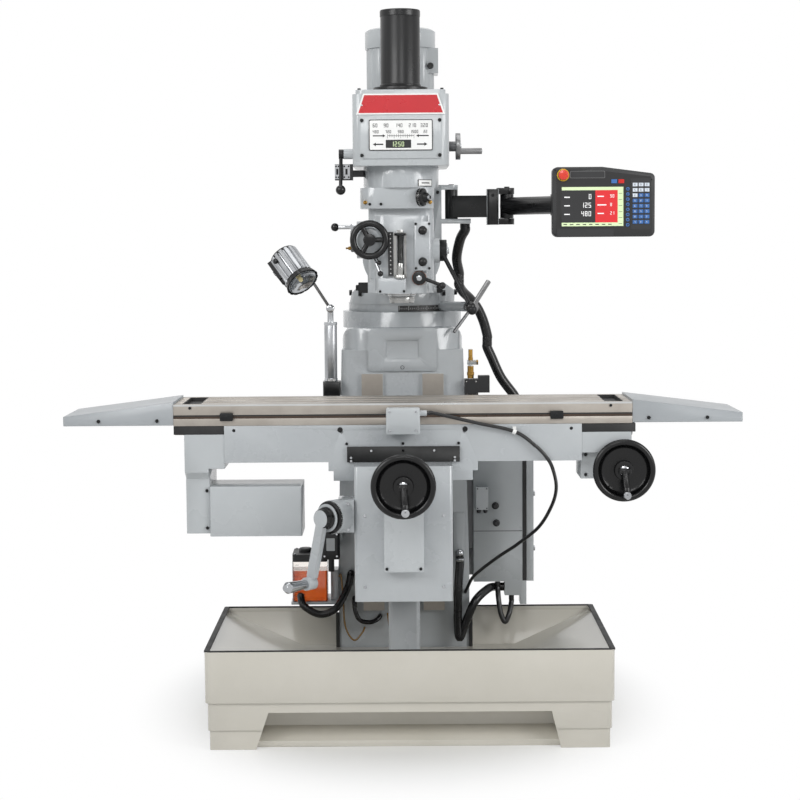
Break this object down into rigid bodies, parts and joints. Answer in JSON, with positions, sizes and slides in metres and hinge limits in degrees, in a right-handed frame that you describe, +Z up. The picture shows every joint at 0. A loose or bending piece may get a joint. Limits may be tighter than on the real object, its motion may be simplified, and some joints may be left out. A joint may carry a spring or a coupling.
{
  "type": "turret milling machine",
  "caption": "Knee-type turret milling machine with long table, swivelling head on a sliding ram, folding control pendant, work lamp and drip tray.",
  "frame": {"origin": "on the floor, at the centre of the column foot anchor-bolt pattern", "axes": "+Z up, +Y from the operator towards the column, +X to the operator's right along the table"},
  "size_m": [1.88, 1.4408, 2.057],
  "materials": {
    "tray_paint": "satin powder coat, warm beige",
    "black_rubber": "matt black rubber",
    "grey_casting": "semi-gloss machine grey enamel on cast iron",
    "grey_sheet": "smooth grey enamel on sheet steel",
    "housing_grey": "semi-gloss machine grey enamel on cast aluminium",
    "ground_iron": "ground cast iron, lightly oiled",
    "clear_oil_tank": "clear plastic tank with amber oil",
    "black_plastic": "moulded black plastic",
    "black_paint": "black semi-gloss paint on steel",
    "bright_steel": "turned bright steel",
    "sign_plate": "red and white printed plates",
    "black_cord": "black cable sheath",
    "oil_pipe": "amber nylon oil pipe",
    "red_plastic": "red push button",
    "lamp_silver": "bright fluted aluminium"
  },
  "bodies": {
    "base": {"column": "grey_casting", "tray": "tray_paint", "tray_trim": "black_rubber", "screw_pedestal": "grey_casting", "cabinet": "grey_sheet", "reservoir": "clear_oil_tank", "service_fittings": "grey_sheet", "limit_switch": "black_plastic", "lamp_base": "black_plastic", "base_hoses": "black_cord", "oil_pipes": "oil_pipe"},
    "cabinet_door": {"cabinet_door": "grey_sheet"},
    "lamp_post": {"lamp_lower": "lamp_silver"},
    "lamp_arm": {"lamp_upper": "lamp_silver"},
    "lamp": {"lamp_head": "lamp_silver"},
    "knee": {"knee": "grey_casting", "knee_cover": "grey_sheet", "crank_housing": "grey_casting"},
    "knee_crank": {"knee_crank": "grey_casting"},
    "crank_grip": {"knee_crank_grip": "bright_steel"},
    "knee_screw": {"knee_screw": "bright_steel"},
    "y_wheel": {"y_handwheel": "black_plastic"},
    "y_grip": {"y_handle": "black_plastic"},
    "saddle": {"saddle": "grey_casting", "saddle_wiper": "black_rubber", "limit_box": "grey_sheet", "x_drive_cover": "grey_sheet", "x_motor": "grey_sheet", "x_drive_block": "housing_grey", "saddle_cable": "black_cord"},
    "x_wheel": {"x_handwheel": "black_plastic"},
    "x_grip": {"x_handle": "black_plastic"},
    "table": {"table": "ground_iron", "end_guards": "grey_sheet", "trip_dogs": "black_paint"},
    "turret": {"turret": "grey_casting", "conduit_middle": "black_cord"},
    "ram_lever": {"ram_handle": "bright_steel"},
    "ram": {"ram": "grey_casting", "conduit_upper": "black_cord"},
    "adapter": {"head_adapter": "grey_casting"},
    "head": {"head_casting": "grey_casting", "belt_housing": "housing_grey", "front_plates": "sign_plate", "motor": "grey_sheet", "drawbar_cover": "black_paint", "head_fittings": "bright_steel", "head_switch": "black_plastic"},
    "quill": {"quill": "bright_steel"},
    "spindle": {"spindle": "bright_steel"},
    "quill_lever": {"quill_lever": "bright_steel"},
    "feed_wheel": {"feed_wheel": "black_plastic"},
    "quill_lock": {"quill_lock": "black_paint"},
    "brake_lever": {"brake_lever": "black_paint"},
    "range_lever": {"range_lever": "bright_steel"},
    "speed_crank": {"speed_crank": "black_plastic"},
    "arm_inner": {"pendant_arm_inner": "black_paint"},
    "arm_outer": {"pendant_arm_outer": "black_paint"},
    "pendant": {"pendant_box": "black_plastic"},
    "stop_button": {"stop_button": "red_plastic"}
  },
  "joints": [
    {"name": "knee_travel", "type": "slide", "parent": "base", "child": "knee", "axis": [0, 0, 1], "range_m": [-0.14986, 0.2286]},
    {"name": "knee_crank_turn", "type": "hinge", "parent": "knee", "child": "knee_crank", "pos_m": [-0.168, -0.688, 0.6747], "axis": [-0.6428, -0.766, 0], "continuous": true},
    {"name": "crank_grip_turn", "type": "hinge", "parent": "knee_crank", "child": "crank_grip", "pos_m": [-0.29117, -0.76479, 0.49422], "axis": [-0.6428, -0.766, 0], "continuous": true},
    {"name": "knee_screw_turn", "type": "hinge", "parent": "knee", "child": "knee_screw", "pos_m": [0, -0.33, 0.5], "axis": [0, 0, 1], "continuous": true},
    {"name": "saddle_travel", "type": "slide", "parent": "knee", "child": "saddle", "axis": [0, 1, 0], "range_m": [-0.13, 0.175]},
    {"name": "y_wheel_turn", "type": "hinge", "parent": "knee", "child": "y_wheel", "pos_m": [0, -0.8, 0.772], "axis": [0, -1, 0], "continuous": true},
    {"name": "y_grip_fold", "type": "hinge", "parent": "y_wheel", "child": "y_grip", "pos_m": [0, -0.857, 0.772], "axis": [-1, 0, 0], "range_deg": [0, 90]},
    {"name": "x_wheel_turn", "type": "hinge", "parent": "saddle", "child": "x_wheel", "pos_m": [0.611, -0.55, 0.782], "axis": [0, -1, 0], "continuous": true},
    {"name": "x_grip_fold", "type": "hinge", "parent": "x_wheel", "child": "x_grip", "pos_m": [0.611, -0.621, 0.782], "axis": [-1, 0, 0], "range_deg": [0, 90]},
    {"name": "table_travel", "type": "slide", "parent": "saddle", "child": "table", "axis": [1, 0, 0], "range_m": [-0.38, 0.38]},
    {"name": "turret_swivel", "type": "hinge", "parent": "base", "child": "turret", "pos_m": [0, 0.18, 1.21], "axis": [0, 0, 1], "range_deg": [-15, 90]},
    {"name": "ram_lever_turn", "type": "hinge", "parent": "turret", "child": "ram_lever", "pos_m": [0.214, -0.046, 1.216], "axis": [-0.6392, 0.769, 0], "range_deg": [0, 60]},
    {"name": "ram_travel", "type": "slide", "parent": "turret", "child": "ram", "axis": [0, 1, 0], "range_m": [-0.1, 0.2]},
    {"name": "head_nod", "type": "hinge", "parent": "ram", "child": "adapter", "pos_m": [0, -0.262, 1.375], "axis": [-1, 0, 0], "range_deg": [-30, 10]},
    {"name": "head_swivel", "type": "hinge", "parent": "adapter", "child": "head", "pos_m": [0, -0.345, 1.375], "axis": [0, -1, 0], "range_deg": [-30, 45]},
    {"name": "quill_feed", "type": "slide", "parent": "head", "child": "quill", "axis": [0, 0, 1], "range_m": [-0.127, 0]},
    {"name": "spindle_turn", "type": "hinge", "parent": "quill", "child": "spindle", "pos_m": [0, -0.463, 1.3], "axis": [0, 0, 1], "continuous": true},
    {"name": "quill_lever_turn", "type": "hinge", "parent": "head", "child": "quill_lever", "pos_m": [0.1, -0.473, 1.391], "axis": [1, 0, 0], "range_deg": [-300, 0]},
    {"name": "feed_wheel_turn", "type": "hinge", "parent": "head", "child": "feed_wheel", "pos_m": [-0.088, -0.56, 1.422], "axis": [0, -1, 0], "continuous": true},
    {"name": "quill_lock_turn", "type": "hinge", "parent": "head", "child": "quill_lock", "pos_m": [0.048, -0.54, 1.316], "axis": [0, -1, 0], "range_deg": [-45, 20]},
    {"name": "brake_lever_turn", "type": "hinge", "parent": "head", "child": "brake_lever", "pos_m": [-0.15, -0.523, 1.659], "axis": [1, 0, 0], "range_deg": [-30, 15]},
    {"name": "range_lever_turn", "type": "hinge", "parent": "head", "child": "range_lever", "pos_m": [-0.1354, -0.453, 1.458], "axis": [0, 1, 0], "range_deg": [-20, 20]},
    {"name": "speed_crank_turn", "type": "hinge", "parent": "head", "child": "speed_crank", "pos_m": [0.14, -0.433, 1.682], "axis": [1, 0, 0], "continuous": true},
    {"name": "arm_swing", "type": "hinge", "parent": "ram", "child": "arm_inner", "pos_m": [0.149, -0.14, 1.518], "axis": [0, 0, 1], "range_deg": [-5, 60]},
    {"name": "arm_elbow", "type": "hinge", "parent": "arm_inner", "child": "arm_outer", "pos_m": [0.314, -0.14, 1.518], "axis": [0, 0, 1], "range_deg": [-5, 45]},
    {"name": "pendant_swivel", "type": "hinge", "parent": "arm_outer", "child": "pendant", "pos_m": [0.456, -0.342, 1.518], "axis": [0, 0, 1], "range_deg": [-20, 30]},
    {"name": "stop_press", "type": "slide", "parent": "pendant", "child": "stop_button", "axis": [0, 1, 0], "range_m": [0, 0.006]},
    {"name": "cabinet_door_swing", "type": "hinge", "parent": "base", "child": "cabinet_door", "pos_m": [0.392, 0.333, 0.64], "axis": [0, 0, 1], "range_deg": [0, 110]},
    {"name": "lamp_swivel", "type": "hinge", "parent": "base", "child": "lamp_post", "pos_m": [-0.216, -0.096, 1.05], "axis": [0, 0, 1], "range_deg": [-60, 15]},
    {"name": "lamp_elbow", "type": "hinge", "parent": "lamp_post", "child": "lamp_arm", "pos_m": [-0.216, -0.11, 1.217], "axis": [0, 1, 0], "range_deg": [-50, 10]},
    {"name": "lamp_tilt", "type": "hinge", "parent": "lamp_arm", "child": "lamp", "pos_m": [-0.276, -0.128, 1.312], "axis": [0, -1, 0], "range_deg": [-30, 30]}
  ],
  "couplings": [
    {"joint": "knee_crank_turn", "follows": "knee_travel", "rad_per_m": -2473.7},
    {"joint": "knee_screw_turn", "follows": "knee_travel", "rad_per_m": -1236.8},
    {"joint": "y_wheel_turn", "follows": "saddle_travel", "rad_per_m": 1256.6},
    {"joint": "x_wheel_turn", "follows": "table_travel", "rad_per_m": 1256.6},
    {"joint": "quill_lever_turn", "follows": "quill_feed", "rad_per_m": 41.2},
    {"joint": "feed_wheel_turn", "follows": "quill_feed", "rad_per_m": -2513.3}
  ]
}
